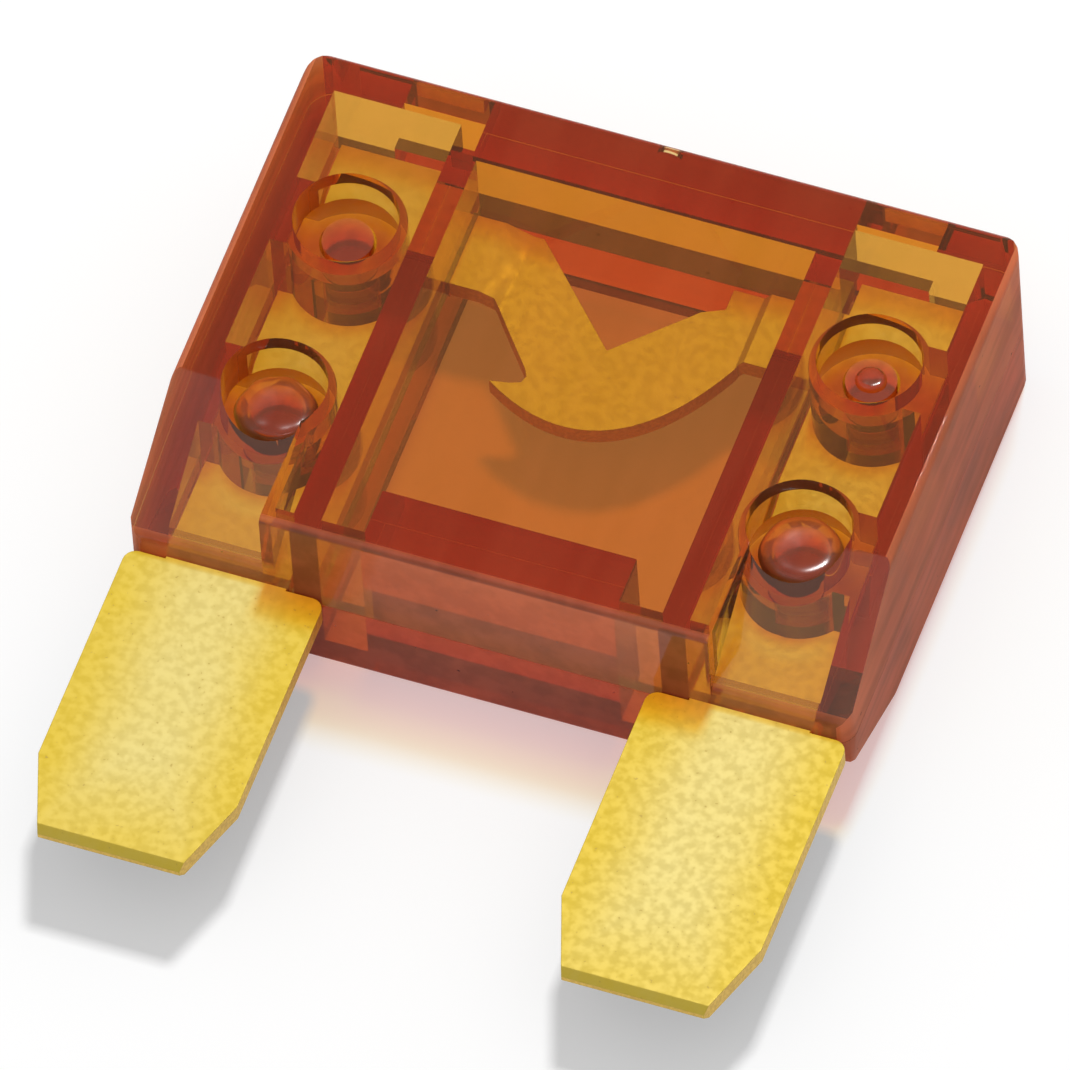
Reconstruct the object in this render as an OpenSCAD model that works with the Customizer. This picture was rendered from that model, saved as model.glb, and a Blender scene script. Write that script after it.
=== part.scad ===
// Automotive blade fuse, large size: two clear moulded half shells around one stamped element.
// It lies on its back face: the cap points to +Y, the blades to -Y, and the front face is up.

/* [Overall size] */
// Length from the top of the cap to the tips of the blades
overall_l = 34.3; // [33.8:0.1:35]
// Width of the body at its widest, along the seam
body_w = 29.1; // [28.9:0.1:29.5]
// Thickness of the body from the back face to the front face
body_t = 8.5; // [8.3:0.1:8.9]
// Length of the body from the top of the cap to the face that the blades leave
body_l = 21.1; // [21:0.1:21.5]
// Height of the seam between the two shells above the back face
seam_z = 3.8; // [3.7:0.1:4.1]

/* [Outer shape of the shells] */
// How much narrower each side is at the cap than at the shoulder
cap_taper = 0.15; // [0:0.05:0.3]
// How much each side leans in from the seam to the front and back faces
side_draft = 0.12; // [0:0.02:0.2]
// Radius of the two corners of the cap
cap_r = 1.1; // [0.6:0.1:1.5]
// Radius of the two outer corners beside the blades
foot_r = 0.8; // [0.4:0.1:1]
// Rounding of the long edges of the front and back faces
edge_r = 0.3; // [0.2:0.05:0.4]
// Distance from the top of the cap to the shoulder, where the side bays start to slope
shoulder = 15.4; // [15.2:0.1:15.8]
// Half thickness of a side bay at its thin end, measured from the seam
bay_tip = 1.3; // [1.2:0.05:1.5]
// How far the middle box, which keeps the full thickness down to the blades, passes each rib
box_lip = 1.05; // [0.95:0.05:1.2]

/* [Walls inside the shells] */
// Thickness of the front and back walls
face_wall = 0.85; // [0.75:0.05:0.95]
// Thickness of the side walls at the seam
side_wall = 1.45; // [1.4:0.05:1.5]
// Thickness of the cap's wall over the side bays
cap_wall = 1.3; // [1.1:0.05:1.4]
// Thickness of the wall that closes all hollows towards the blades
bay_floor = 1; // [0.8:0.05:1.1]
// Width of a side bay with its walls, from the widest part of the body to the window chamber
bay_w = 7.7; // [7.6:0.05:7.8]
// Distance from the top of the cap to the window chamber
window_top = 2.7; // [2.5:0.05:2.75]
// Length of the solid block that stands in the lower end of the window chamber
block_l = 3; // [2.6:0.1:3.2]
// Width of the gap between the block and the rib on each side
block_gap = 1.75; // [1.6:0.05:1.9]
// Thickness of the ribs between the window chamber and the side bays
rib_t = 1.1; // [1:0.05:1.15]
// Thickness of the walls on both sides of the middle box, beside the thin ends of the bays
lip_wall = 0.3; // [0.25:0.05:0.4]

/* [Test slots and gate] */
// Distance of a test slot's middle from the rib beside it
slot_in = 1.2; // [1.15:0.05:1.4]
// Width of a test slot
slot_w = 3.3; // [3:0.1:3.5]
// Opening of a test slot across the seam
slot_t = 2; // [1.8:0.1:2.4]
// Diameter of the gate's dimple in the cap
gate_d = 1; // [0.8:0.1:1.2]
// Depth of the gate's dimple
gate_deep = 0.1; // [0.05:0.05:0.3]
// Distance of the dimple's middle below the front face
gate_down = 1.4; // [1.2:0.1:1.6]

/* [Staked posts] */
// Gap between a post's round side and the side wall, which the web bridges
post_room = 0.2; // [0.15:0.05:0.25]
// Distance from the top of the cap to the upper posts
post_hi = 7; // [6.8:0.1:7.2]
// Distance from the top of the cap to the lower posts
post_lo = 15; // [14.8:0.1:15.1]
// Diameter of a post where it stands in the hollow bay
post_d = 4.7; // [4.6:0.05:4.75]
// Width of the web that joins a post to the side wall
web_w = 3; // [2.6:0.1:3.4]
// Diameter of the open well in the front of a post
well_d = 4.1; // [4:0.05:4.2]
// Depth of the upper wells below the front face
well_hi = 1.7; // [1.6:0.05:1.8]
// Depth of the lower wells below the front face
well_lo = 2; // [1.9:0.05:2.1]
// Diameter of the pins that stand on the back shell
pin_d = 2; // [1.9:0.05:2.1]
// Height that an upper pin stands above the floor of its well
pin_proud = 0.2; // [0.1:0.05:0.35]
// Diameter of the melted head of a lower pin
head_d = 2.7; // [2.5:0.1:2.9]
// Height of the melted head of a lower pin
head_h = 0.4; // [0.3:0.05:0.5]

/* [Stamped element] */
// Thickness of the sheet
sheet_t = 0.8; // [0.7:0.05:0.85]
// Width of a blade
blade_w = 8; // [7.9:0.05:8.1]
// How far a blade's outer edge stands in from the widest part of the body
blade_set = 0.05; // [0.05:0.05:0.15]
// Length of the chamfer at a blade's tip
tip_l = 3.3; // [3:0.1:3.6]
// Width of the chamfer at a blade's tip
tip_w = 1.15; // [1:0.05:1.3]
// Radius of the corners of a blade beside the body
blade_r = 0.5; // [0.3:0.1:0.8]
// Distance of a leg's two long edges from the rib and from the side wall
leg_room = 0.15; // [0.1:0.05:0.2]
// Distance from the top of the cap to the upper edge of the arms
arm_hi = 2.85; // [2.8:0.05:2.95]
// Distance from the top of the cap to the lower edge of the arms
arm_lo = 6.15; // [6:0.05:6.3]

/* [Fuse link] */
// Half width of the window chamber that the link is drawn for: a wider chamber stretches the link
link_hw = 6.85; // [6.75:0.05:6.95]
// How far the link is set back behind the arms
link_back = 0.4; // [0.3:0.05:0.5]
// Distance from the middle to where the left arm starts to step back
jog_left = 5.7; // [5.5:0.1:5.9]
// Length of the sloping step at the left arm
jog_left_w = 1.1; // [1:0.1:1.2]
// Distance from the middle to where the right arm starts to step back
jog_right = 5; // [4.9:0.1:5.2]
// Length of the sloping step at the right arm
jog_right_w = 0.3; // [0.2:0.05:0.4]
// Distance from the middle to the left top of the notch
notch_left = 4.2; // [4:0.05:4.4]
// Distance from the middle to the right top of the notch
notch_right = 3.45; // [3.3:0.05:3.6]
// How far left of the middle the notch's point lies
notch_x = 0.23; // [0:0.01:0.4]
// Distance from the top of the cap to the notch's point
notch_deep = 6.97; // [6.8:0.01:7.2]
// Distance from the middle to the right end of the crescent
rim_right = 4.77; // [4.6:0.01:4.9]
// Distance from the middle to the tip of the hook at the crescent's left end
hook_x = 4.05; // [3.9:0.05:4.2]
// Distance from the top of the cap to the tip of the hook
hook_deep = 9.65; // [9.5:0.05:9.8]
// Distance from the middle to the deepest point of the bite above the hook
bite_x = 2.75; // [2.6:0.05:2.9]
// Distance from the top of the cap to the deepest point of the bite
bite_deep = 9.05; // [8.95:0.05:9.15]

/* [Fits] */
// Clearance around the element inside the shells
leg_gap = 0.05; // [0.03:0.01:0.08]
// Film of air between the shells along the seam
seam_gap = 0.02; // [0.01:0.01:0.04]
// Clearance between a pin and its hole, on the radius
pin_gap = 0.1; // [0.05:0.01:0.12]

/* [Hidden] */
half_w = body_w / 2;
front_deep = body_t - seam_z;
side_in = half_w - side_wall;
window_hw = half_w - bay_w;
block_hw = window_hw - block_gap;
rib_out = window_hw + rib_t;
box_hw = rib_out + box_lip;
slot_x = rib_out + slot_in;
wide = window_hw / link_hw;
sheet_h = sheet_t / 2;
hole_d = pin_d + 2 * pin_gap;
post_x = side_in - post_d / 2 - post_room;
leg_in = rib_out + leg_room;
leg_out = side_in - leg_room;
blade_out = half_w - blade_set;
blade_in = blade_out - blade_w;
pocket_low = body_l - bay_floor;
// Length that passes any part of the body, and how far cuts run past the faces that they open.
reach = 60;
over = 0.2;
// How far the arms run into the legs.
lap = 0.9;
// Handles that pull the crescent's lower edge round, as distances from the middle and the cap.
rim_pull_right = [3.3, 9.3];
rim_pull_left = [0.5, 12.6];
// Small shoulder at the top of the notch's right side.
notch_knee = [2.6, 4.2];
knee_rise = 0.4;
// Width of the hook, and the rounding of the bite above it.
hook_w = 0.8;
bite_round = 0.3;
// Number of steps along the crescent's lower edge.
rim_steps = 24;
// Corner where the left arm runs into the crescent, measured from the arm's lower edge.
neck_x = 4.85;
neck_drop = 0.2;

// Turns a distance below the top of the cap into a Y position.
function y_at(down) = overall_l / 2 - down;

// Points along a quarter turn about a centre, from angle a to angle b.
function corner(cx, cy, r, a, b) =
    [for (i = [0:5]) [cx + r * cos(a + (b - a) * i / 5), cy + r * sin(a + (b - a) * i / 5)]];

// Point of the link at a distance across and a distance below the cap.
function link_at(x, down) = [wide * x, y_at(down)];

// Point at t along a smooth curve through two end points, pulled by two handles.
function curve_at(p, t) =
    pow(1 - t, 3) * p[0] + 3 * pow(1 - t, 2) * t * p[1] + 3 * (1 - t) * t * t * p[2] + t * t * t * p[3];

// Slope of a bay's outer face, and the height of its inner face at a distance below the cap.
function bay_slope(deep) = atan((deep - bay_tip) / (body_l - shoulder));
function bay_inner(deep, down) =
    deep - face_wall / cos(bay_slope(deep)) - (down - shoulder) * tan(bay_slope(deep));
function bay_bend(deep) =
    shoulder - face_wall * (1 / cos(bay_slope(deep)) - 1) / tan(bay_slope(deep));

// Outline of the body seen from the front.
module body_outline() {
    top_hw = half_w - cap_taper;
    right = concat(
        corner(top_hw - cap_r, y_at(cap_r), cap_r, 90, 0),
        [[half_w, y_at(shoulder)]],
        corner(half_w - foot_r, y_at(body_l - foot_r), foot_r, 0, -90));
    polygon(concat(right, [for (i = [len(right) - 1:-1:0]) [-right[i][0], right[i][1]]]));
}

// Section across the body: the sides lean in from the seam, and the long edges are rounded.
module body_section() {
    face_hw = half_w - side_draft;
    right = concat(
        corner(face_hw - edge_r, body_t - edge_r, edge_r, 90, 0),
        [[half_w, seam_z]],
        corner(face_hw - edge_r, edge_r, edge_r, 0, -90));
    polygon(concat(right, [for (i = [len(right) - 1:-1:0]) [-right[i][0], right[i][1]]]));
}

// Side view of the body through a bay: full at the cap, sloping to the thin end.
module bay_side() {
    polygon(concat(
        corner(y_at(edge_r), body_t - edge_r, edge_r, 0, 90),
        [[y_at(shoulder), body_t]],
        [[y_at(body_l - edge_r), seam_z + bay_tip + edge_r * tan(bay_slope(front_deep))]],
        [[y_at(body_l), seam_z + bay_tip - edge_r]],
        [[y_at(body_l), seam_z - bay_tip + edge_r]],
        [[y_at(body_l - edge_r), seam_z - bay_tip - edge_r * tan(bay_slope(seam_z))]],
        [[y_at(shoulder), 0]],
        corner(y_at(edge_r), edge_r, edge_r, -90, 0)));
}

// Side view of the body through the middle box: full thickness all the way down.
module box_side() {
    polygon(concat(
        corner(y_at(edge_r), body_t - edge_r, edge_r, 0, 90),
        corner(y_at(body_l - edge_r), body_t - edge_r, edge_r, 90, 180),
        corner(y_at(body_l - edge_r), edge_r, edge_r, 180, 270),
        corner(y_at(edge_r), edge_r, edge_r, 270, 360)));
}

// Draws a side view as a solid of a given width, centred on X.
module across(width) {
    translate([-width / 2, 0, 0]) rotate([90, 0, 90]) linear_extrude(width) children();
}

// The whole outer form of the body, before it is split and hollowed.
module body_form() {
    intersection() {
        translate([0, 0, -over]) linear_extrude(body_t + 2 * over) body_outline();
        translate([0, reach / 2, 0]) rotate([90, 0, 0]) linear_extrude(reach) body_section();
        union() {
            across(body_w + 2 * over) bay_side();
            across(2 * box_hw) box_side();
        }
    }
}

// Hollow of one bay, measured up from the seam, for a shell of a given depth. It slopes with the
// bay's outer face, but keeps its full depth inside the middle box.
module bay_pocket(deep) {
    wall_in = deep - face_wall;
    translate([rib_out, 0, 0]) rotate([90, 0, 90]) linear_extrude(side_in - rib_out)
        polygon([
            [y_at(cap_wall), -over],
            [y_at(cap_wall), wall_in],
            [y_at(bay_bend(deep)), wall_in],
            [y_at(pocket_low), bay_inner(deep, pocket_low)],
            [y_at(pocket_low), -over]]);
    translate([rib_out, y_at(pocket_low), -over])
        cube([box_lip - lip_wall, pocket_low - bay_bend(deep) + over, wall_in + over]);
}

// Everything taken out of a shell from the seam side, measured up from the seam.
module hollows(deep) {
    difference() {
        translate([-window_hw, y_at(pocket_low), -over])
            cube([2 * window_hw, pocket_low - window_top, deep - face_wall + over]);
        translate([-block_hw, y_at(body_l), -2 * over]) cube([2 * block_hw, block_l, reach]);
    }
    for (side = [0, 1]) mirror([side, 0, 0]) bay_pocket(deep);
}

// Room for the element's legs and arms, and the test slots, measured up from the seam.
module passages() {
    room = sheet_h + leg_gap;
    for (side = [0, 1]) mirror([side, 0, 0]) {
        translate([leg_in - leg_gap, y_at(body_l + over), -over])
            cube([leg_out - leg_in + 2 * leg_gap, body_l + over - cap_wall, room + over]);
        translate([window_hw - over, y_at(arm_lo + leg_gap), -over])
            cube([leg_in - window_hw + over, arm_lo - arm_hi + 2 * leg_gap, room + over]);
        translate([slot_x - slot_w / 2, y_at(cap_wall + over), -over])
            cube([slot_w, cap_wall + 2 * over, slot_t / 2 + over]);
    }
}

// Places and well depths of the two rows of posts, the upper and the lower.
POST_ROWS = [[post_hi, well_hi], [post_lo, well_lo]];

// Puts something at one row of posts, the left one mirrored.
module at_posts(row) {
    for (side = [0, 1]) mirror([side, 0, 0]) translate([post_x, y_at(row[0]), 0]) children();
}

// A round post with its web to the side wall on the right.
module post(height) {
    cylinder(h = height, d = post_d, $fn = 96);
    translate([0, -web_w / 2, 0]) cube([side_in - post_x + over, web_w, height]);
}

// Half of the body with solid posts in its hollow bays, measured up from the seam.
module hollow_half(deep) {
    difference() {
        hollows(deep);
        for (row = POST_ROWS) at_posts(row)
            translate([0, 0, -2 * over]) post(deep + 3 * over);
    }
}

// The front shell: window, side bays, and four posts with open wells for the staked pins.
module front_shell() {
    color([0.85, 0.36, 0.08, 0.6])
    difference() {
        body_form();
        translate([-reach / 2, -reach / 2, seam_z + seam_gap / 2 - reach]) cube(reach);
        translate([0, 0, seam_z]) {
            hollow_half(front_deep);
            passages();
            for (row = POST_ROWS) at_posts(row) {
                translate([0, 0, front_deep - row[1]]) cylinder(h = reach, d = well_d, $fn = 96);
                cylinder(h = reach, d = hole_d, $fn = 64);
            }
        }
        translate([0, y_at(gate_deep), body_t - gate_down])
            rotate([-90, 0, 0]) cylinder(h = gate_deep + over, d = gate_d, $fn = 48);
    }
}

// The back shell: the same hollows mirrored, a plain back, and four pins on its posts.
module back_shell() {
    pin_base = seam_z - sheet_h - 2 * leg_gap;
    color([0.8, 0.32, 0.07, 0.6])
    union() {
        difference() {
            body_form();
            translate([-reach / 2, -reach / 2, seam_z - seam_gap / 2]) cube(reach);
            translate([0, 0, seam_z]) mirror([0, 0, 1]) {
                hollow_half(seam_z);
                passages();
            }
        }
        at_posts(POST_ROWS[0]) translate([0, 0, pin_base])
            cylinder(h = body_t - well_hi + pin_proud - pin_base, d = pin_d, $fn = 64);
        at_posts(POST_ROWS[1]) {
            translate([0, 0, pin_base]) cylinder(h = body_t - well_lo - pin_base, d = pin_d, $fn = 64);
            translate([0, 0, body_t - well_lo]) cylinder(h = head_h, d = head_d, $fn = 64);
        }
    }
}

// Outline of one blade and its leg, on the right side.
module blade_outline() {
    polygon(concat(
        [[leg_in, y_at(cap_wall + leg_gap)], [leg_in, y_at(body_l + leg_gap)]],
        corner(blade_in + blade_r, y_at(body_l + leg_gap + blade_r), blade_r, 90, 180),
        [[blade_in, y_at(overall_l - tip_l)], [blade_in + tip_w, y_at(overall_l)]],
        [[blade_out - tip_w, y_at(overall_l)], [blade_out, y_at(overall_l - tip_l)]],
        corner(blade_out - blade_r, y_at(body_l + leg_gap + blade_r), blade_r, 0, 90),
        [[leg_out, y_at(body_l + leg_gap)], [leg_out, y_at(cap_wall + leg_gap)]]));
}

// Outline of the arms and the link: a crescent with a deep notch above and a hook on the left.
module link_outline() {
    arm_end = leg_in + lap;
    rim = [
        link_at(rim_right, arm_lo),
        link_at(rim_pull_right[0], rim_pull_right[1]),
        link_at(rim_pull_left[0], rim_pull_left[1]),
        link_at(-hook_x, hook_deep)];
    notch = [
        link_at(-notch_left, arm_hi),
        link_at(-notch_x, notch_deep),
        link_at(notch_knee[0], notch_knee[1]),
        link_at(notch_right, notch_knee[1] - knee_rise),
        link_at(notch_right, arm_hi)];
    mouth = [
        link_at(-hook_x + hook_w, hook_deep - bite_round / 2),
        link_at(-bite_x - bite_round / 3, bite_deep + bite_round),
        link_at(-bite_x, bite_deep),
        link_at(-bite_x - bite_round / 2, bite_deep - bite_round)];
    polygon(concat(
        [[-arm_end, y_at(arm_hi)]],
        notch,
        [[arm_end, y_at(arm_hi)], [arm_end, y_at(arm_lo)]],
        [for (i = [0:rim_steps]) curve_at(rim, i / rim_steps)],
        mouth,
        [link_at(-neck_x, arm_lo + neck_drop), link_at(-neck_x - neck_drop, arm_lo)],
        [[-arm_end, y_at(arm_lo)]]));
}

// Section of the element along X: level at the blades, set back between the two sloping steps.
module element_section() {
    low = seam_z - sheet_h;
    line = [
        [-half_w, low],
        [-wide * jog_left, low],
        [-wide * (jog_left - jog_left_w), low - link_back],
        [wide * (jog_right - jog_right_w), low - link_back],
        [wide * jog_right, low],
        [half_w, low]];
    polygon(concat(line, [for (i = [len(line) - 1:-1:0]) line[i] + [0, sheet_t]]));
}

// The stamped element: two blades, their legs with pin holes, the arms and the set-back link.
module fuse_element() {
    color([0.9, 0.78, 0.3])
    difference() {
        intersection() {
            union() {
                for (side = [0, 1]) mirror([side, 0, 0]) linear_extrude(body_t) blade_outline();
                linear_extrude(body_t) link_outline();
            }
            translate([0, reach / 2, 0]) rotate([90, 0, 0]) linear_extrude(reach) element_section();
        }
        for (row = POST_ROWS) at_posts(row) cylinder(h = body_t, d = hole_d, $fn = 64);
    }
}

front_shell();
back_shell();
fuse_element();
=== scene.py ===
"""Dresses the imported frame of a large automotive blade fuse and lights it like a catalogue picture.

The two moulded half shells are clear amber plastic with a real depth of colour: light loses its
blue and green on the way through, so a thin wall looks orange and a thick one dark red. The stamped
element is sheet metal with a yellow passivated finish.
"""

import logging
import math
from dataclasses import dataclass, field
from enum import Enum

import bmesh
import bpy
import numpy as np
from mathutils import Matrix, Vector


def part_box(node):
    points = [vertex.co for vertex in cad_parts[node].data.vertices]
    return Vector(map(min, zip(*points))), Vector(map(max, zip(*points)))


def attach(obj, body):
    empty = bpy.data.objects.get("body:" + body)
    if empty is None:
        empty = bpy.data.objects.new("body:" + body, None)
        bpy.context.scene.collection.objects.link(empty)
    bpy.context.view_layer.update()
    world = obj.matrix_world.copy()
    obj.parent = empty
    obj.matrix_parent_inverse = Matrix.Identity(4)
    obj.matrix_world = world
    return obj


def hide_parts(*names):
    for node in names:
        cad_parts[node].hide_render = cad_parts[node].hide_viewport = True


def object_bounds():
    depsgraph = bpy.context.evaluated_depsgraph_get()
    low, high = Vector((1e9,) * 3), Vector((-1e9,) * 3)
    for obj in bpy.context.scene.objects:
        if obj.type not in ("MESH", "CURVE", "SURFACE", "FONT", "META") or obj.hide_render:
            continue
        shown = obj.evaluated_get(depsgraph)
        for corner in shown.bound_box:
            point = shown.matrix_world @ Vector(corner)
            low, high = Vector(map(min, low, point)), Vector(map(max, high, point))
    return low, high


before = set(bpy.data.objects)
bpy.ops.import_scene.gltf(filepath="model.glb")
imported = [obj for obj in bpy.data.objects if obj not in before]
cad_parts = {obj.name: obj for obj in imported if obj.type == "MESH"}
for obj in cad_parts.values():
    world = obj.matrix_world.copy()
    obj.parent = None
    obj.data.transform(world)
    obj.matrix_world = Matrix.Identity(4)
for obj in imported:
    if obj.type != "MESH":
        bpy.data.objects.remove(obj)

CAD_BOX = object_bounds()
BODY = "root"
MM = 0.001
WELD = 1e-7  # points closer than this, in metres, are one
FLAT = math.radians(0.5)  # faces that turn by less lie in one plane
SHARP = math.radians(35.0)  # edges that turn by more stay sharp
BY_AREA = 100  # weight of a normal by its face's area
PHOTO_WIDE = 1070
WHITE = (1.0, 1.0, 1.0)
NOISE_DETAIL = 3.0
MIX_SHARE, MIX_A, MIX_B, MIX_RESULT = 0, 6, 7, 2  # the colour sockets of a Mix node
MATT, ROUGH = "matt", "rough"  # the shells' face attributes
RAYS = {
    "caustics_refractive": False,
    "caustics_reflective": False,
    "max_bounces": 7,
    "transmission_bounces": 7,
    "diffuse_bounces": 1,
    "glossy_bounces": 2,
    "transparent_max_bounces": 8,
    "light_sampling_threshold": 0.03,
}

Colour = tuple[float, float, float]
Value = float | bpy.types.NodeSocket
Tint = Colour | bpy.types.NodeSocket

log = logging.getLogger("fuse")


class Slot(Enum):
    """The record's material slots."""

    PLASTIC = "clear_amber"
    METAL = "yellow_metal"


def rgba(colour: Tint) -> object:
    """Gives a colour its fourth number. A socket stays as it is."""
    return colour if isinstance(colour, bpy.types.NodeSocket) else (*colour, 1.0)


@dataclass
class Graph:
    """A small helper that adds nodes to one shader tree.

    Args:
        tree: the node tree that the nodes go into.
    """

    tree: bpy.types.NodeTree

    def add(self, kind: str, **settings: object) -> bpy.types.Node:
        """Adds a node and sets its properties.

        Args:
            kind: the node's type name.
            settings: properties of the node and their values.

        Returns:
            The new node.
        """
        node = self.tree.nodes.new(kind)
        for key, value in settings.items():
            setattr(node, key, value)
        return node

    def put(self, socket: bpy.types.NodeSocket, value: object) -> None:
        """Sets or links one input.

        Args:
            socket: the input.
            value: a plain value or an output socket.
        """
        if isinstance(value, bpy.types.NodeSocket):
            self.tree.links.new(value, socket)
        else:
            socket.default_value = value

    def feed(self, node: bpy.types.Node, **values: object) -> bpy.types.Node:
        """Sets or links inputs of a node by name, with underscores for spaces.

        Args:
            node: the node whose inputs are set.
            values: input names and either plain values or output sockets.

        Returns:
            The same node.
        """
        for key, value in values.items():
            self.put(node.inputs[key.replace("_", " ")], value)
        return node

    def math(
        self, operation: str, a: Value, b: Value, clamp: bool = False
    ) -> bpy.types.NodeSocket:
        """Adds a Math node.

        Args:
            operation: the sum to do.
            a: first value or socket.
            b: second value or socket.
            clamp: True to keep the result between 0 and 1.

        Returns:
            The node's output.
        """
        node = self.add("ShaderNodeMath", operation=operation, use_clamp=clamp)
        for place, value in enumerate((a, b)):
            self.put(node.inputs[place], value)
        return node.outputs[0]

    def ramp(self, value: Value, low: Value, high: Value) -> bpy.types.NodeSocket:
        """Rises smoothly from 0 to 1.

        Args:
            value: the value or socket to follow.
            low: where the result is 0.
            high: where the result is 1.

        Returns:
            The result.
        """
        node = self.add("ShaderNodeMapRange", interpolation_type="SMOOTHSTEP")
        return self.feed(node, Value=value, From_Min=low, From_Max=high).outputs["Result"]

    def blend(self, share: Value, a: Tint, b: Tint) -> bpy.types.NodeSocket:
        """Mixes two colours.

        Args:
            share: how much of the second colour is taken.
            a: first colour, as three numbers or a socket.
            b: second colour, as three numbers or a socket.

        Returns:
            The mixed colour.
        """
        node = self.add("ShaderNodeMix", data_type="RGBA")
        for place, value in ((MIX_SHARE, share), (MIX_A, rgba(a)), (MIX_B, rgba(b))):
            self.put(node.inputs[place], value)
        return node.outputs[MIX_RESULT]

    def mix(self, share: Value, a: bpy.types.Node, b: bpy.types.Node) -> bpy.types.Node:
        """Mixes two shaders.

        Args:
            share: how much of the second shader is taken.
            a: first shader.
            b: second shader.

        Returns:
            The mixed shader.
        """
        node = self.add("ShaderNodeMixShader")
        for place, value in enumerate((share, a.outputs[0], b.outputs[0])):
            self.put(node.inputs[place], value)
        return node

    def finish(self, surface: bpy.types.Node, volume: bpy.types.Node | None = None) -> None:
        """Links shaders to a new material output.

        Args:
            surface: the shader of the faces.
            volume: the shader of the inside, if there is one.
        """
        out = self.add("ShaderNodeOutputMaterial")
        self.put(out.inputs["Surface"], surface.outputs[0])
        if volume is not None:
            self.put(out.inputs["Volume"], volume.outputs[0])


def new_material(name: str) -> tuple[bpy.types.Material, Graph]:
    """Makes an empty material.

    Args:
        name: the material's name.

    Returns:
        The material, and a helper for its nodes.
    """
    mat = bpy.data.materials.new(name)
    mat.use_nodes = True
    mat.node_tree.nodes.clear()
    return mat, Graph(mat.node_tree)


def mottle_group() -> bpy.types.NodeTree:
    """Builds the shared effect of uneven patches: a soft noise, cut between two levels.

    Returns:
        The node group, with inputs Vector, Scale, Low and High and the output Mask.
    """
    tree = bpy.data.node_groups.new("mottle", "ShaderNodeTree")
    tree.interface.new_socket("Vector", in_out="INPUT", socket_type="NodeSocketVector")
    for name in ("Scale", "Low", "High"):
        tree.interface.new_socket(name, in_out="INPUT", socket_type="NodeSocketFloat")
    tree.interface.new_socket("Mask", in_out="OUTPUT", socket_type="NodeSocketFloat")
    g = Graph(tree)
    given = g.add("NodeGroupInput").outputs
    noise = g.feed(
        g.add("ShaderNodeTexNoise"),
        Vector=given["Vector"],
        Scale=given["Scale"],
        Detail=NOISE_DETAIL,
    )
    cut = g.ramp(noise.outputs["Fac"], given["Low"], given["High"])
    g.feed(g.add("NodeGroupOutput"), Mask=cut)
    return tree


@dataclass(frozen=True)
class Patches:
    """One layer of uneven patches in a finish.

    Args:
        scale: how fine the noise is, in waves to the metre.
        low: level of the noise at which a patch begins.
        high: level at which it is full.
        weight: how strongly the layer shows.
    """

    scale: float
    low: float
    high: float
    weight: float

    def mask(
        self, g: Graph, mottle: bpy.types.NodeTree, place: bpy.types.NodeSocket
    ) -> bpy.types.NodeSocket:
        """Places the shared group with this layer's values.

        Args:
            g: the material's nodes.
            mottle: the shared group of uneven patches.
            place: the point on the object.

        Returns:
            The mask, from 0 to 1.
        """
        group = g.add("ShaderNodeGroup", node_tree=mottle)
        g.feed(group, Vector=place, Scale=self.scale, Low=self.low, High=self.high)
        return group.outputs["Mask"]

    def weighed(self, g: Graph, mask: bpy.types.NodeSocket) -> bpy.types.NodeSocket:
        """Returns the mask times the layer's weight."""
        return g.math("MULTIPLY", mask, self.weight)


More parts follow.
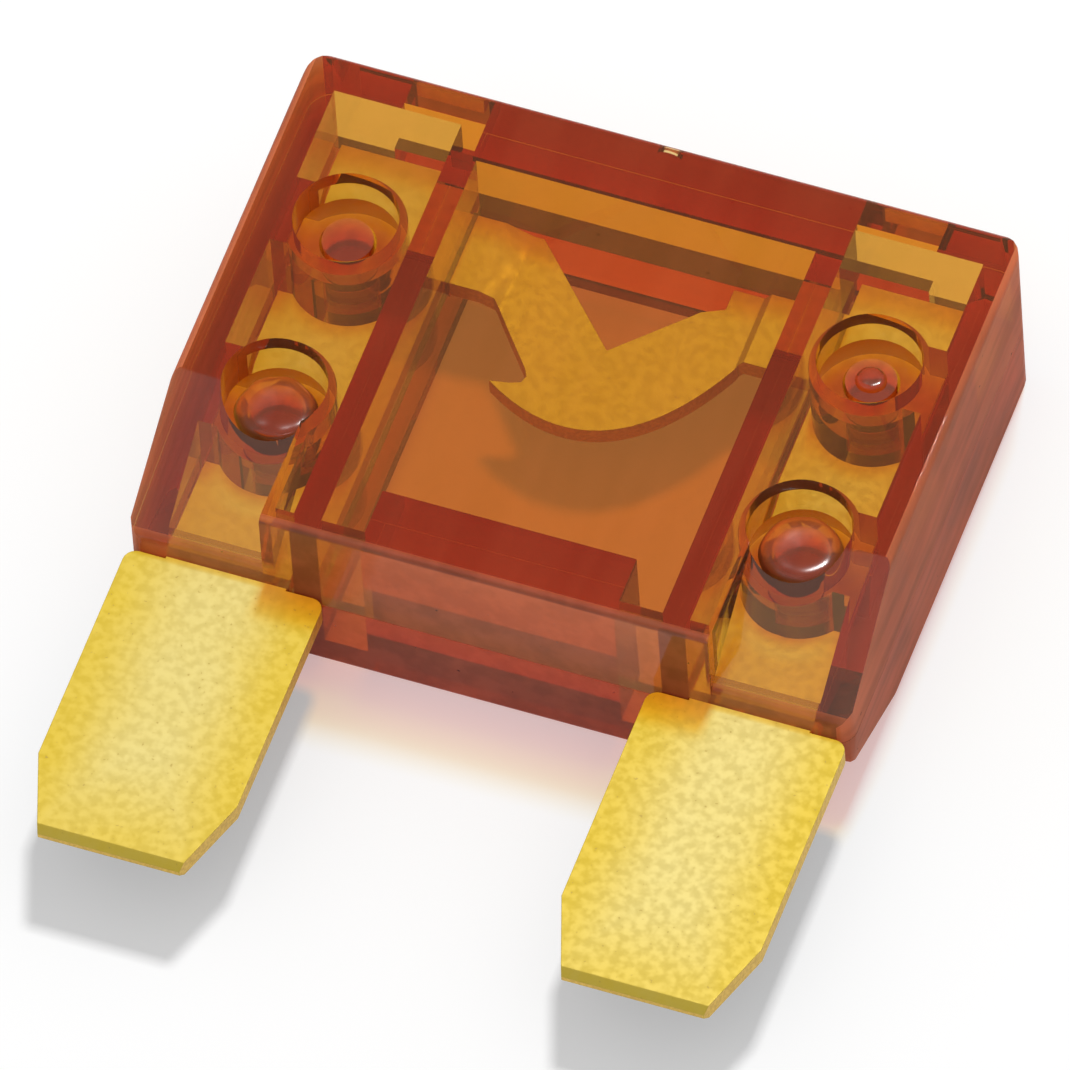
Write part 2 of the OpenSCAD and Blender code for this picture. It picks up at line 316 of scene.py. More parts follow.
@dataclass(frozen=True)
class AmberPlastic:
    """Clear amber moulding plastic, coloured through its depth, with a faint haze on its faces.

    Light through d millimetres keeps exp(-d * loss) of each colour. Faces can be matt: the face
    attribute "matt" is the share of haze there, and "rough" the roughness. One closed piece has one
    material, because light that enters at one face and leaves at another crosses a single volume.
    Rays that carry light from lamps to what is inside pass the faces straight.

    Args:
        name: the material's name.
        loss_per_mm: what a millimetre takes of red, green and blue.
        ior: how strongly it bends light.
        haze: colour of the haze on clear faces.
        haze_share: how much haze a clear face has where it is looked at.
        matt_haze: colour of the haze on fully matt faces.
        haze_through: how much of the haze's light comes from behind it.
        shaded: how bright the haze is in streaks and clouds, against the rest.
        dust: colour of the specks.
        passed: how much light a face lets straight through.
        flow: how far the streaks are drawn out along the body: less is longer.
        streaks: the flow streaks.
        clouds: the soft clouds.
        specks: the dust specks.
    """

    name: str = "amber_plastic"
    loss_per_mm: Colour = (0.075, 0.33, 1.2)
    ior: float = 1.57
    haze: Colour = (0.77, 0.26, 0.11)
    haze_share: float = 0.22
    matt_haze: Colour = (1.0, 0.31, 0.16)
    haze_through: float = 0.5
    shaded: float = 0.4
    dust: Colour = (0.05, 0.02, 0.02)
    passed: float = 0.97
    flow: float = 0.12
    streaks: Patches = Patches(900.0, 0.35, 0.65, 0.3)
    clouds: Patches = Patches(260.0, 0.3, 0.7, 0.2)
    specks: Patches = Patches(2400.0, 0.74, 0.77, 0.8)

    def haze_colour(
        self, g: Graph, mottle: bpy.types.NodeTree, matt: bpy.types.NodeSocket
    ) -> bpy.types.NodeSocket:
        """Colours the haze: soft clouds and long flow streaks that are darker, and a few specks.

        Args:
            g: the material's nodes.
            mottle: the shared group of uneven patches.
            matt: how matt the face is.

        Returns:
            The colour.
        """
        place = g.add("ShaderNodeTexCoord").outputs["Object"]
        mapping = g.feed(g.add("ShaderNodeMapping"), Vector=place, Scale=(1.0, self.flow, 1.0))
        drawn = mapping.outputs["Vector"]
        streaks = self.streaks.weighed(g, self.streaks.mask(g, mottle, drawn))
        clouds = self.clouds.weighed(g, self.clouds.mask(g, mottle, place))
        specks = self.specks.weighed(g, self.specks.mask(g, mottle, place))
        base = g.blend(matt, self.haze, self.matt_haze)
        shade = tuple(self.shaded * part for part in self.haze)
        return g.blend(specks, g.blend(g.math("ADD", streaks, clouds), base, shade), self.dust)

    def build(self, mottle: bpy.types.NodeTree) -> bpy.types.Material:
        """Makes the material.

        Args:
            mottle: the shared group of uneven patches.

        Returns:
            The material.
        """
        mat, g = new_material(self.name)
        matt = g.add("ShaderNodeAttribute", attribute_name=MATT).outputs["Fac"]
        rough = g.add("ShaderNodeAttribute", attribute_name=ROUGH).outputs["Fac"]
        glass = g.feed(
            g.add("ShaderNodeBsdfPrincipled"),
            Base_Color=rgba(WHITE),
            Roughness=rough,
            IOR=self.ior,
            Metallic=0.0,
            Transmission_Weight=1.0,
        )
        colour = self.haze_colour(g, mottle, matt)
        lit_haze = g.feed(g.add("ShaderNodeBsdfDiffuse"), Color=colour)
        through_haze = g.feed(g.add("ShaderNodeBsdfTranslucent"), Color=colour)
        haze = g.mix(self.haze_through, lit_haze, through_haze)
        path = g.add("ShaderNodeLightPath").outputs
        looked_at = g.math("MULTIPLY", path["Is Camera Ray"], self.haze_share)
        seen = g.mix(g.math("MAXIMUM", looked_at, matt), glass, haze)
        straight = g.feed(g.add("ShaderNodeBsdfTransparent"), Color=rgba((self.passed,) * 3))
        spread = g.math("SUBTRACT", 1.0, path["Is Singular Ray"])
        rough_bounce = g.math("MULTIPLY", path["Is Glossy Ray"], spread)
        from_lamp = g.math("MAXIMUM", path["Is Shadow Ray"], path["Is Diffuse Ray"])
        surface = g.mix(g.math("MAXIMUM", from_lamp, rough_bounce), seen, straight)
        most = max(self.loss_per_mm)
        inside = g.feed(
            g.add("ShaderNodeVolumeAbsorption"),
            Color=rgba(tuple(1 - loss / most for loss in self.loss_per_mm)),
            Density=most / MM,
        )
        g.finish(surface, inside)
        return mat


@dataclass(frozen=True)
class YellowMetal:
    """Sheet metal with a yellow passivated finish.

    The middle of a blade is painted pale, a painted sheen that stands in for a broad highlight,
    and its edges and tip are deeper yellow. Fine patches and a few dark specks lie over both.

    Args:
        pale: colour of a blade's middle, lightened as a painted sheen.
        deep: colour of its edges.
        speck: colour of the specks.
        metallic: how much of the light it mirrors like metal.
        roughness: least roughness.
        rougher: what the fine patches add to it.
        bump: strength of the fine patches' relief.
        bump_height: height of that relief.
        patches: the fine patches.
        clouds: the soft clouds.
        specks: the dark specks.
        edge_weight: how strongly the deeper colour shows at an edge.
        tip_weight: the same at the tip, against the long edges.
        blade_middle: distance from the fuse's middle to a blade's.
        blade_half: half a blade's width.
        edge_ramp: where the deeper colour begins and is full, as a share of half the width.
        tip_ramp: the same towards the tip, as a distance from the fuse's middle.
    """

    pale: Colour = (0.64, 0.525, 0.16)
    deep: Colour = (0.61, 0.43, 0.01)
    speck: Colour = (0.42, 0.28, 0.05)
    metallic: float = 0.3
    roughness: float = 0.45
    rougher: float = 0.12
    bump: float = 0.04
    bump_height: float = 0.01 * MM
    patches: Patches = Patches(2600.0, 0.35, 0.65, 0.06)
    clouds: Patches = Patches(420.0, 0.35, 0.7, 0.1)
    specks: Patches = Patches(5200.0, 0.68, 0.74, 0.6)
    edge_weight: float = 0.85
    tip_weight: float = 0.8
    blade_middle: float = 10.5 * MM
    blade_half: float = 4.0 * MM
    edge_ramp: tuple[float, float] = (0.1, 0.95)
    tip_ramp: tuple[float, float] = (12.5 * MM, 17.0 * MM)

    def sheen_falloff_mask(self, g: Graph, place: bpy.types.NodeSocket) -> bpy.types.NodeSocket:
        """Gives 0 along the middle line of a blade and 1 at its two long edges and at its tip.

        Args:
            g: the material's nodes.
            place: the point on the object.

        Returns:
            The mask: the distance from the blade's middle line, over half its width, smoothed, or
            the same towards the tip where that is more.
        """
        split = g.feed(g.add("ShaderNodeSeparateXYZ"), Vector=place).outputs
        across = g.math("SUBTRACT", g.math("ABSOLUTE", split["X"], 0.0), self.blade_middle)
        share = g.math("DIVIDE", g.math("ABSOLUTE", across, 0.0), self.blade_half)
        side = g.ramp(share, *self.edge_ramp)
        tip = g.ramp(g.math("SUBTRACT", 0.0, split["Y"]), *self.tip_ramp)
        # 0 where the pale painted sheen lies along the blade's middle, rising to 1 where it fades at
        # the edges and tip
        return g.math("MAXIMUM", side, g.math("MULTIPLY", tip, self.tip_weight))

    def build(self, mottle: bpy.types.NodeTree) -> bpy.types.Material:
        """Makes the material.

        Args:
            mottle: the shared group of uneven patches.

        Returns:
            The material.
        """
        mat, g = new_material("yellow_metal_finish")
        place = g.add("ShaderNodeTexCoord").outputs["Object"]
        patches = self.patches.mask(g, mottle, place)
        clouds = self.clouds.weighed(g, self.clouds.mask(g, mottle, place))
        specks = self.specks.weighed(g, self.specks.mask(g, mottle, place))
        uneven = g.math("ADD", self.patches.weighed(g, patches), clouds)
        # edges: where the painted sheen of the blade's middle fades out to the deeper yellow
        edges = g.math("MULTIPLY", self.sheen_falloff_mask(g, place), self.edge_weight)
        depth = g.math("ADD", uneven, edges, clamp=True)
        # painted highlight: the pale middle is a painted sheen over the deeper yellow
        colour = g.blend(specks, g.blend(depth, self.pale, self.deep), self.speck)
        relief = g.feed(
            g.add("ShaderNodeBump"), Strength=self.bump, Distance=self.bump_height, Height=patches
        )
        surface = g.feed(
            g.add("ShaderNodeBsdfPrincipled"),
            Base_Color=colour,
            Metallic=self.metallic,
            Roughness=g.math("ADD", self.roughness, g.math("MULTIPLY", patches, self.rougher)),
            Normal=relief.outputs["Normal"],
        )
        g.finish(surface)
        return mat


@dataclass(frozen=True)
class ShearedEdge:
    """The cut sides of the sheet: a brown-yellow band, torn in fine steps across the thickness.

    Args:
        bright: colour of the smooth cut.
        dark: colour of the tears.
        metallic: how much of the light it mirrors like metal.
        roughness: its roughness.
        bump: strength of the tears' relief.
        bump_height: height of that relief.
        tears: the torn patches.
    """

    bright: Colour = (0.86, 0.58, 0.12)
    dark: Colour = (0.46, 0.27, 0.05)
    metallic: float = 0.6
    roughness: float = 0.6
    bump: float = 0.3
    bump_height: float = 0.02 * MM
    tears: Patches = Patches(7000.0, 0.3, 0.7, 0.45)

    def build(self, mottle: bpy.types.NodeTree) -> bpy.types.Material:
        """Makes the material.

        Args:
            mottle: the shared group of uneven patches.

        Returns:
            The material.
        """
        mat, g = new_material("sheared_edge")
        place = g.add("ShaderNodeTexCoord").outputs["Object"]
        tears = self.tears.mask(g, mottle, place)
        relief = g.feed(
            g.add("ShaderNodeBump"), Strength=self.bump, Distance=self.bump_height, Height=tears
        )
        surface = g.feed(
            g.add("ShaderNodeBsdfPrincipled"),
            Base_Color=g.blend(self.tears.weighed(g, tears), self.bright, self.dark),
            Metallic=self.metallic,
            Roughness=self.roughness,
            Normal=relief.outputs["Normal"],
        )
        g.finish(surface)
        return mat


@dataclass(frozen=True)
class WhitePaper:
    """The pale floor. Where it is looked at, a little light of its own brings it near white.

    Args:
        colour: the paper's colour.
        lift: its own light, where 1 is white.
    """

    colour: Colour = (0.68, 0.68, 0.68)
    lift: float = 0.34

    def build(self) -> bpy.types.Material:
        """Makes the material.

        Returns:
            The material.
        """
        mat, g = new_material("white_paper")
        paper = g.feed(g.add("ShaderNodeBsdfDiffuse"), Color=rgba(self.colour))
        path = g.add("ShaderNodeLightPath").outputs
        mirrored = g.math("MAXIMUM", path["Is Camera Ray"], path["Is Glossy Ray"])
        seen = g.math("MAXIMUM", mirrored, path["Is Transmission Ray"])
        glow = g.feed(g.add("ShaderNodeEmission"), Strength=g.math("MULTIPLY", seen, self.lift))
        both = g.add("ShaderNodeAddShader")
        for place, part in enumerate((paper, glow)):
            g.put(both.inputs[place], part.outputs[0])
        g.finish(both)
        return mat


def add_object(name: str, mesh: bpy.types.Mesh) -> bpy.types.Object:
    """Puts a mesh into the scene as an object at the origin.

    Args:
        name: the object's name.
        mesh: its mesh.

    Returns:
        The object.
    """
    obj = bpy.data.objects.new(name, mesh)
    bpy.context.scene.collection.objects.link(obj)
    return obj


def evaluated_mesh(obj: bpy.types.Object) -> bpy.types.Mesh:
    """Takes an object's mesh as its modifiers leave it, and removes the modifiers.

    Args:
        obj: the object.

    Returns:
        The new mesh.
    """
    graph = bpy.context.evaluated_depsgraph_get()
    mesh = bpy.data.meshes.new_from_object(obj.evaluated_get(graph))
    mesh.name = obj.name
    obj.modifiers.clear()
    return mesh


def bake(obj: bpy.types.Object) -> None:
    """Applies an object's modifiers, then shades it smooth with its sharp edges and its flats kept.

    The flats keep their true normals because each normal is a mean weighted by the faces' areas.

    Args:
        obj: the object.
    """
    obj.data = evaluated_mesh(obj)
    if "custom_normal" in obj.data.attributes:
        obj.data.attributes.remove(obj.data.attributes["custom_normal"])
    obj.data.shade_smooth()
    obj.data.set_sharp_from_angle(angle=SHARP)
    weigh = obj.modifiers.new("weigh", "WEIGHTED_NORMAL")
    weigh.keep_sharp = True
    weigh.weight = BY_AREA
    obj.data = evaluated_mesh(obj)


def merged_copy(node: str, name: str) -> bpy.types.Object:
    """Copies a CAD node's mesh, welds its loose triangles and joins those that lie in one plane.

    Args:
        node: the CAD node.
        name: the copy's name.

    Returns:
        The copy.
    """
    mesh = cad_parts[node].data.copy()
    mesh.name = name
    form = bmesh.new()
    form.from_mesh(mesh)
    bmesh.ops.remove_doubles(form, verts=form.verts, dist=WELD)
    bmesh.ops.dissolve_limit(form, angle_limit=FLAT, verts=form.verts, edges=form.edges)
    form.to_mesh(mesh)
    form.free()
    mesh.materials.clear()
    obj = add_object(name, mesh)
    bake(obj)
    return obj


def ringed_solids(name: str, stacks: list[np.ndarray]) -> bpy.types.Mesh:
    """Makes closed solids from stacks of rings.

    Each stack holds rows of points. A four-sided face joins each pair of neighbours in one ring to
    the pair above, the last point of a ring joins its first, and one flat face closes each end.

    Args:
        name: the mesh's name.
        stacks: for each solid an array of rings, points and coordinates, counterclockwise seen from
            the end of the stack.

    Returns:
        The mesh.
    """
    points, faces, start = [], [], 0
    for rings in stacks:
        rows, turns = rings.shape[:2]
        index = start + np.arange(rows * turns).reshape(rows, turns)
        low, high = index[:-1], index[1:]
        sides = np.stack([low, np.roll(low, -1, 1), np.roll(high, -1, 1), high], -1)
        faces += sides.reshape(-1, 4).tolist() + [index[0][::-1].tolist(), index[-1].tolist()]
        points.append(rings.reshape(-1, 3))
        start += rows * turns
    mesh = bpy.data.meshes.new(name)
    mesh.from_pydata(np.concatenate(points), [], faces)
    return mesh


@dataclass(frozen=True)
class MeltedHead:
    """One pin's end as the staking tool left it. Lengths are in metres.

    Args:
        x: place across.
        y: place along.
        base: height of its lower face.
        radius: mean radius at its foot.
        height: height of its dome.
        wobble: how uneven its outline is, as a share of the radius.
        dish: depth of the hollow in its middle.
        turn: angle that its outline is turned by, in radians.
        rows: number of rings.
        turns: number of points in a ring.
        crowding: how the rings crowd towards the middle: less is more.
        last: how near the last ring comes to the middle, as a share of the way.
        bluntness: how upright the side is: less is more.
        waves: size, number round the outline and start of each wave.
        dish_reach: radius of the hollow, as a share of the head's.
        top_wobble: how uneven the dome is, against the outline.
    """

    x: float
    y: float
    base: float
    radius: float
    height: float
    wobble: float
    dish: float = 0.0
    turn: float = 0.0
    rows: int = 14
    turns: int = 56
    crowding: float = 0.4
    last: float = 0.9999
    bluntness: float = 0.3
    waves: tuple[tuple[float, int, float], ...] = ((0.6, 2, 0.0), (0.5, 3, 1.0), (0.3, 7, 2.0))
    dish_reach: float = 0.45
    top_wobble: float = 1.5

    def rings(self) -> np.ndarray:
        """Works out the surface.

        At angle a and at s from 0 at the foot to 1 near the middle, the radius is the mean radius
        times cos(s * 90 degrees) to the power of the bluntness, times 1 plus the wobble's waves.
        The height is the dome's height times sin(s * 90 degrees), less the dish, which is a bell
        curve of the radius. The waves fade out towards the middle of the dome.

        Returns:
            The rings of points from the foot to the middle.
        """
        s = np.linspace(0.0, 1.0, self.rows)[:, None] ** self.crowding * self.last * math.pi / 2
        a = np.linspace(0.0, 2 * math.pi, self.turns, endpoint=False)[None, :] + self.turn
        waves = sum(size * np.cos(count * a + start) for size, count, start in self.waves)
        out = self.radius * np.cos(s) ** self.bluntness * (1 + self.wobble * waves)
        sunk = self.dish * np.exp(-((out / (self.dish_reach * self.radius)) ** 2))
        uneven = 1 + self.top_wobble * self.wobble * waves * np.cos(s)
        up = self.base + self.height * np.sin(s) * uneven - sunk
        return np.stack([self.x + out * np.cos(a), self.y + out * np.sin(a), up + 0 * a], -1)


@dataclass
class Casing:
    """The two half shells of the body, as copies of their solids.

    Their two long outer sides are matt from the mould. The back shell's pins have melted ends as
    the staking left them, each a little different.

    Args:
        front: the front shell's CAD node.
        back: the back shell's CAD node.
        finish: the front shell's plastic.
        back_finish: the back shell's plastic, which is deeper in colour.
        matt_sides: how matt the long outer sides are.
        matt_end: how matt the lower end is.
        matt_melt: how matt the melted pin ends are.
        rough_melt: how rough they are.
        side_depth: how far the matt of the sides reaches inwards.
        end_depth: how far the matt of the lower end reaches upwards.
        post_from_side: distance from the side to the middle of a post.
        post_down: distances from the cap to the middles of the upper and the lower posts.
        well_deep: depths of their wells.
        pin_proud: how far a pin stands out of a well's bottom.
        seat: how far a melted cap stands off the well's bottom.
        melt_radius: how far from a post's middle the melt reaches.
        melt_below: how far under the front face it ends.
    """

    front: str = "front_shell"
    back: str = "back_shell"
    finish: AmberPlastic = field(default_factory=AmberPlastic)
    back_finish: AmberPlastic = AmberPlastic("deep_amber_plastic", (0.12, 0.85, 2.0))
    matt_sides: float = 0.85
    matt_end: float = 0.55
    matt_melt: float = 0.3
    rough_melt: float = 0.18
    side_depth: float = 0.55 * MM
    end_depth: float = 0.3 * MM
    post_from_side: float = 4.0 * MM
    post_down: tuple[float, float] = (7.0 * MM, 15.0 * MM)
    well_deep: tuple[float, float] = (1.7 * MM, 2.0 * MM)
    pin_proud: float = 0.2 * MM
    seat: float = 0.004 * MM
    melt_radius: float = 1.9 * MM
    melt_below: float = 1.0 * MM

    def heads(self) -> list[MeltedHead]:
        """Places the melted heads in the wells.

        Returns:
            A small boss on the upper right pin, a torn cap on the lower left one and a broad cap on
            the lower right one. The upper left pin stays as it is.
        """
        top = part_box(self.front)[1]
        x = top[0] - self.post_from_side
        y_hi, y_lo = (top[1] - down for down in self.post_down)
        boss_base = top[2] - self.well_deep[0] + self.pin_proud / 2
        cap_base = top[2] - self.well_deep[1] + self.seat
        boss = MeltedHead(x, y_hi, boss_base, radius=0.62 * MM, height=0.34 * MM, wobble=0.03)
        torn = MeltedHead(
            -x,
            y_lo,
            cap_base,
            radius=1.58 * MM,
            height=0.50 * MM,
            wobble=0.06,
            dish=0.05 * MM,
            turn=0.7,
        )
        broad = MeltedHead(
            x,
            y_lo,
            cap_base,
            radius=1.62 * MM,
            height=0.52 * MM,
            wobble=0.025,
            dish=0.06 * MM,
            turn=2.1,
        )
        return [boss, torn, broad]

    def staked_back(self) -> bpy.types.Object:
        """Joins the melted heads to a copy of the back shell.

        Returns:
            The back shell with its staked pins as one closed solid.
        """
        shell = merged_copy(self.back, "staked_back_shell")
        tool = add_object("heads", ringed_solids("heads", [head.rings() for head in self.heads()]))
        join = shell.modifiers.new("join", "BOOLEAN")
        join.operation = "UNION"
        join.solver = "EXACT"
        join.object = tool
        bake(shell)
        bpy.data.objects.remove(tool)
        return shell

    def paint(self, mesh: bpy.types.Mesh, plastic: bpy.types.Material) -> None:
        """Gives a shell its plastic, and marks its matt sides, its lower end and its melted pins.

        Args:
            mesh: the shell's mesh.
            plastic: its material.
        """
        mesh.materials.clear()
        mesh.materials.append(plastic)
        middles = np.empty(len(mesh.polygons) * 3)
        mesh.polygons.foreach_get("center", middles)
        x, y, z = middles.reshape(-1, 3).T
        low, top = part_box(self.front)
        matt = np.where(y < low[1] + self.end_depth, self.matt_end, 0.0)
        matt[np.abs(x) > top[0] - self.side_depth] = self.matt_sides
        rough = np.zeros(len(matt))
        for down, deep in zip(self.post_down, self.well_deep):
            away = np.hypot(np.abs(x) - top[0] + self.post_from_side, y - top[1] + down)
            above = z > top[2] - deep + self.seat / 2
            melted = (away < self.melt_radius) & above & (z < top[2] - self.melt_below)
            matt[melted] = self.matt_melt
            rough[melted] = self.rough_melt
        for name, values in ((MATT, matt), (ROUGH, rough)):
            mesh.attributes.new(name, "FLOAT", "FACE").data.foreach_set("value", values)

    def build(self, mottle: bpy.types.NodeTree) -> bpy.types.Material:
        """Makes the pieces and gives them the plastic.

        Args:
            mottle: the shared group of uneven patches.

        Returns:
            The front shell's plastic.
        """
        plastic = self.finish.build(mottle)
        deep = self.back_finish.build(mottle)
        pieces = (
            (merged_copy(self.front, "clear_front_shell"), self.front, plastic),
            (self.staked_back(), self.back, deep),
        )
        for shell, node, clear in pieces:
            self.paint(shell.data, clear)
            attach(shell, BODY)
            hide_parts(node)
            log.info("built %s", shell.name)
        return plastic


@dataclass
class Flash:
    """Thin fins of plastic squeezed out of the seam at the lower corners of the middle box.

    Args:
        shell: the CAD node whose lower end they stand on.
        seam: height of the seam.
        middle: middles of the two fins across the body.
        length: their lengths.
        reach: how far they stand out.
        thick: half their thickness.
        rows: number of rings in a fin.
        turns: number of points in a ring.
        fade: how bluntly a fin ends: less is blunter.
        least: least size of a ring, as a share of the reach.
        long_ripple: size of the long ripple and its waves along half a fin, in radians.
        short_ripple: the same for the short ripple.
        shift_per_m: how far the long ripple moves with a fin's place, in radians to the metre.
    """

    shell: str = "back_shell"
    seam: float = 3.8 * MM
    middle: tuple[float, float] = (-8.35 * MM, 8.2 * MM)
    length: tuple[float, float] = (1.3 * MM, 0.9 * MM)
    reach: float = 0.13 * MM
    thick: float = 0.05 * MM
    rows: int = 40
    turns: int = 12
    fade: float = 0.4
    least: float = 0.08
    long_ripple: tuple[float, float] = (0.25, 9.0)
    short_ripple: tuple[float, float] = (0.15, 23.0)
    shift_per_m: float = 1000.0

    def rings(self, middle: float, length: float) -> np.ndarray:
        """Works out one fin.

        A flat ellipse is carried along X over the length. At s from -1 to 1 its reach is scaled by
        (1 - s * s) to the power of the fade and by two ripples, and never falls to nothing.

        Args:
            middle: the fin's middle across the body.
            length: its length.

        Returns:
            The rings of points from the left end to the right end.
        """
        s = np.linspace(-1.0, 1.0, self.rows)[:, None]
        a = np.linspace(0.0, 2 * math.pi, self.turns, endpoint=False)[None, :]
        (long_size, long_waves), (short_size, short_waves) = self.long_ripple, self.short_ripple
        ripple = 1 + long_size * np.sin(long_waves * s + self.shift_per_m * middle)
        ripple = ripple + short_size * np.sin(short_waves * s)
        size = np.maximum((1 - s * s) ** self.fade * ripple, self.least)
        x = middle + s * length / 2 + 0 * a
        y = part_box(self.shell)[0][1] + self.reach * size * np.cos(a)
        return np.stack([x, y, self.seam + self.thick * size * np.sin(a)], -1)

    def build(self, plastic: bpy.types.Material) -> None:
        """Makes the fins.

        Args:
            plastic: their material.
        """
        stacks = [self.rings(middle, length) for middle, length in zip(self.middle, self.length)]
        mesh = ringed_solids("seam_flash", stacks)
        mesh.shade_smooth()
        mesh.materials.append(plastic)
        obj = add_object("seam_flash", mesh)
        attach(obj, BODY)
        log.info("built %s", obj.name)


@dataclass
class Element:
    """The stamped element: a copy of its solid with edges rolled over by the punch.

    Its flats keep the yellow finish and its cut sides are bare.

    Args:
        node: its CAD node.
        finish: the finish of its flats.
        sides: the finish of its cut sides.
        roll: how far its edges are rolled over.
        roll_steps: number of faces across a rolled edge.
        side_tilt: a face is a cut side where its normal's height is less than this.
        taper: size of the chamfer at the blades' tips.
        tip_reach: length of the tips that are chamfered.
    """

    node: str = "fuse_element"
    finish: YellowMetal = field(default_factory=YellowMetal)
    sides: ShearedEdge = field(default_factory=ShearedEdge)
    roll: float = 0.06 * MM
    roll_steps: int = 2
    side_tilt: float = 0.5
    taper: float = 0.28 * MM
    tip_reach: float = 3.2 * MM

    def is_rim(self, edge: bmesh.types.BMEdge) -> bool:
        """Says whether a flat and a cut side meet at an edge.

        Args:
            edge: the edge.

        Returns:
            True if they do.
        """
        flats = sorted(abs(face.normal.z) > self.side_tilt for face in edge.link_faces)
        return flats == [False, True]

    def taper_tips(self, mesh: bpy.types.Mesh) -> None:
        """Chamfers the rims of the blades' ends on both faces, so that they enter a holder easily.

        Args:
            mesh: the element's mesh.
        """
        form = bmesh.new()
        form.from_mesh(mesh)
        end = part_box(self.node)[0][1] + self.tip_reach
        tips = [edge for edge in form.edges if max(v.co.y for v in edge.verts) < end]
        bmesh.ops.bevel(
            form,
            geom=[edge for edge in tips if self.is_rim(edge)],
            offset=self.taper,
            offset_type="OFFSET",
            segments=1,
            affect="EDGES",
        )
        form.to_mesh(mesh)
        form.free()

    def build(self, mottle: bpy.types.NodeTree) -> None:
        """Makes the piece and gives it its finishes.

        Args:
            mottle: the shared group of uneven patches.
        """
        piece = merged_copy(self.node, "stamped_element")
        mesh = piece.data
        self.taper_tips(mesh)
        mesh.materials.append(self.finish.build(mottle))
        mesh.materials.append(self.sides.build(mottle))
        normals = np.empty(len(mesh.polygons) * 3)
        mesh.polygons.foreach_get("normal", normals)
        cut = np.abs(normals.reshape(-1, 3)[:, 2]) < self.side_tilt
        mesh.polygons.foreach_set("material_index", cut.astype(np.int32))
        roll = piece.modifiers.new("rolled_edge", "BEVEL")
        roll.width = self.roll
        roll.segments = self.roll_steps
        roll.limit_method = "ANGLE"
        roll.angle_limit = SHARP
        roll.material = 0
        bake(piece)
        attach(piece, BODY)
        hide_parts(self.node)
        log.info("built %s", piece.name)


@dataclass(frozen=True)
class Panel:
    """A soft bright or dark patch of the surroundings.

    Args:
        toward: direction of its middle, seen from the object.
        width: angle from its middle to its edge in degrees.
        level: how bright it is, where 1 is white.
    """

    toward: tuple[float, float, float]
    width: float
    level: float


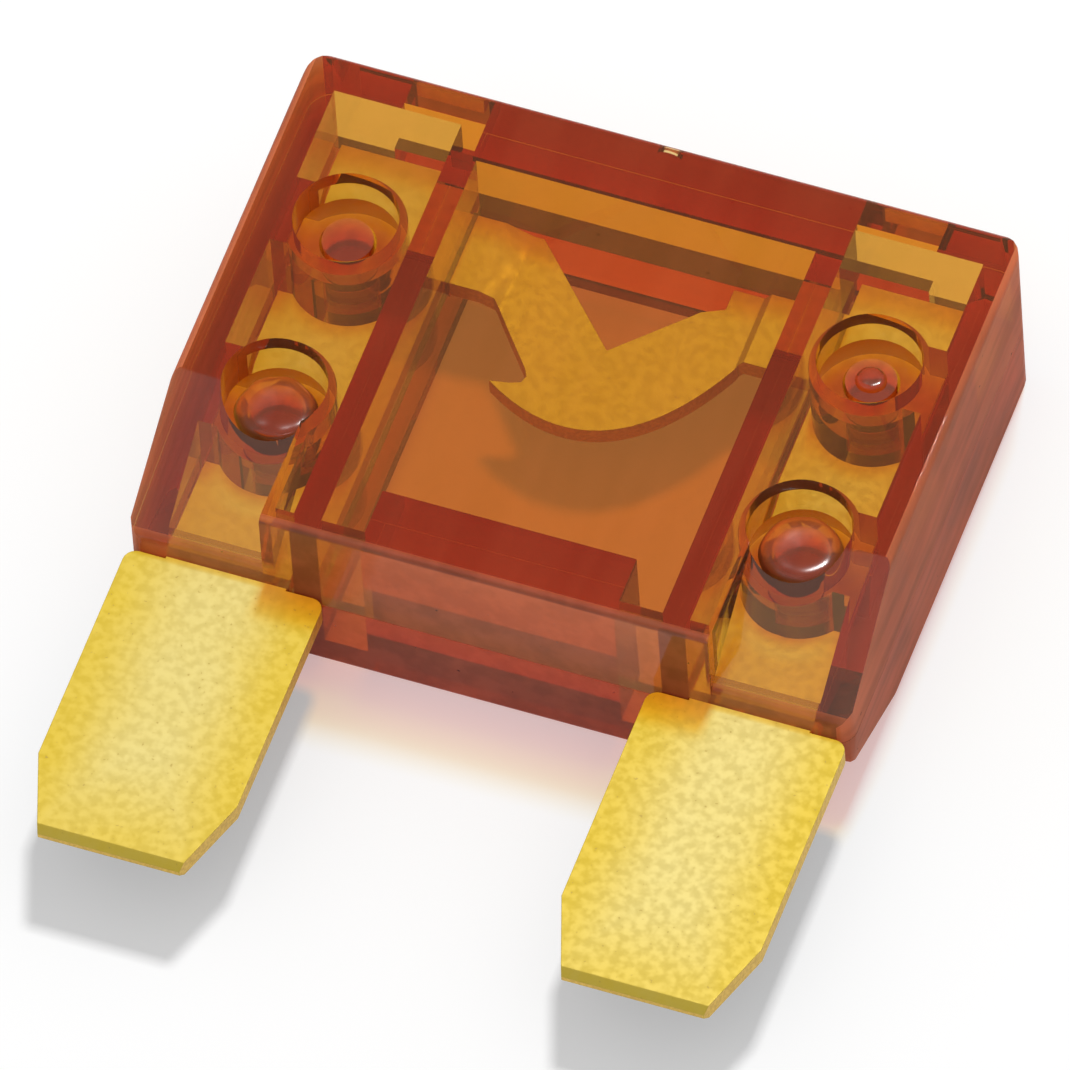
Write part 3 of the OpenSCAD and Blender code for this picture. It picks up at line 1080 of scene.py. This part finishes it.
@dataclass
class Studio:
    """Floor, lamp and surroundings. Lengths are in metres.

    Args:
        paper: the floor's finish.
        floor_half: half the floor's width.
        floor_gap: how far the floor lies under the object.
        sky: level of the surroundings.
        panels: patches in the surroundings.
        key_place: where the key lamp hangs.
        key_size: side of the lamp's square.
        key_power: the lamp's power in watts.
    """

    paper: WhitePaper = field(default_factory=WhitePaper)
    floor_half: float = 0.6
    floor_gap: float = 0.02 * MM
    sky: float = 0.45
    panels: tuple[Panel, ...] = (
        Panel((-0.2235, 0.519, 0.825), 25.0, 0.12),
        Panel((-0.2235, -0.479, 0.850), 22.0, 0.8),
    )
    key_place: tuple[float, float, float] = (0.0, 0.28, 0.70)
    key_size: float = 0.10
    key_power: float = 3.4

    def lay_floor(self) -> None:
        """Makes the floor: one square at the lowest point of the object."""
        h = self.floor_half
        mesh = bpy.data.meshes.new("floor")
        corners = [(-h, -h, 0), (h, -h, 0), (h, h, 0), (-h, h, 0)]
        mesh.from_pydata(corners, [], [range(len(corners))])
        obj = add_object("floor", mesh)
        obj.location.z = CAD_BOX[0][2] - self.floor_gap
        mesh.materials.append(self.paper.build())

    def hang_key(self) -> None:
        """Hangs the lamp. It faces the middle of the object and isn't seen through the plastic."""
        light = bpy.data.lights.new("key", "AREA")
        light.size = self.key_size
        light.energy = self.key_power
        obj = bpy.data.objects.new("key", light)
        obj.location = self.key_place
        obj.visible_transmission = False
        obj.rotation_euler = (-Vector(self.key_place)).to_track_quat("-Z", "Y").to_euler()
        bpy.context.scene.collection.objects.link(obj)

    def surround(self) -> None:
        """Sets the surroundings: an even sky with soft patches that fade in from their edges."""
        world = bpy.data.worlds.new("studio")
        bpy.context.scene.world = world
        world.use_nodes = True
        g = Graph(world.node_tree)
        look = g.add("ShaderNodeTexCoord").outputs["Generated"]
        level: Value = self.sky
        for panel in self.panels:
            facing = g.add("ShaderNodeVectorMath", operation="DOT_PRODUCT")
            for place, value in enumerate((look, Vector(panel.toward).normalized())):
                g.put(facing.inputs[place], value)
            edge = math.cos(math.radians(panel.width))
            inside = g.ramp(facing.outputs["Value"], edge, (1 + edge) / 2)
            step = g.math("MULTIPLY", inside, g.math("SUBTRACT", panel.level, level))
            level = g.math("ADD", level, step)
        g.feed(world.node_tree.nodes["Background"], Color=rgba(WHITE), Strength=level)

    def build(self) -> None:
        """Makes the floor, the surroundings and the lamp."""
        self.lay_floor()
        self.surround()
        self.hang_key()


@dataclass
class Viewpoint:
    """The camera of the photograph: far away with a long lens, looking down on the front face.

    Args:
        distance: from the aim to the camera, in metres.
        azimuth: angle round the object in degrees.
        elevation: angle above the floor in degrees.
        roll: how far the picture is turned, in degrees.
        aim: the point in the middle of the picture.
        focal_px: focal length in pixels of the photograph.
        sensor: width of the sensor in millimetres.
        far: how far the camera sees, in metres.
    """

    distance: float = 1.51495
    azimuth: float = -66.7096
    elevation: float = 55.5998
    roll: float = -4.4305
    aim: tuple[float, float, float] = (0.00005, 0.00128, 0.00425)
    focal_px: float = 39982.9
    sensor: float = 36.0
    far: float = 20.0

    def build(self) -> None:
        """Makes the camera and sets it as the scene's own."""
        az, el = math.radians(self.azimuth), math.radians(self.elevation)
        back = Vector((math.cos(el) * math.cos(az), math.cos(el) * math.sin(az), math.sin(el)))
        right = Vector((0, 0, 1)).cross(back).normalized()
        up = back.cross(right)
        turn = Matrix.Rotation(math.radians(self.roll), 3, back)
        axes = Matrix((turn @ right, turn @ up, back)).transposed()
        data = bpy.data.cameras.new("photo_view")
        data.sensor_width = self.sensor
        data.lens = self.focal_px / PHOTO_WIDE * self.sensor
        data.clip_end = self.far
        cam = bpy.data.objects.new("photo_view", data)
        cam.matrix_world = axes.to_4x4()
        cam.location = Vector(self.aim) + back * self.distance
        bpy.context.scene.collection.objects.link(cam)
        bpy.context.scene.camera = cam


def settings() -> None:
    """Sets how colours are shown, and leaves out light that the clear plastic would count twice."""
    scene = bpy.context.scene
    scene.view_settings.view_transform = "Standard"
    for name, value in RAYS.items():
        setattr(scene.cycles, name, value)


def main() -> None:
    """Builds the scene in order."""
    logging.basicConfig(level=logging.INFO, format="%(name)s: %(message)s")
    settings()
    Viewpoint().build()
    mottle = mottle_group()
    plastic = Casing().build(mottle)
    Flash().build(plastic)
    Element().build(mottle)
    Studio().build()


if __name__ == "__main__":
    main()
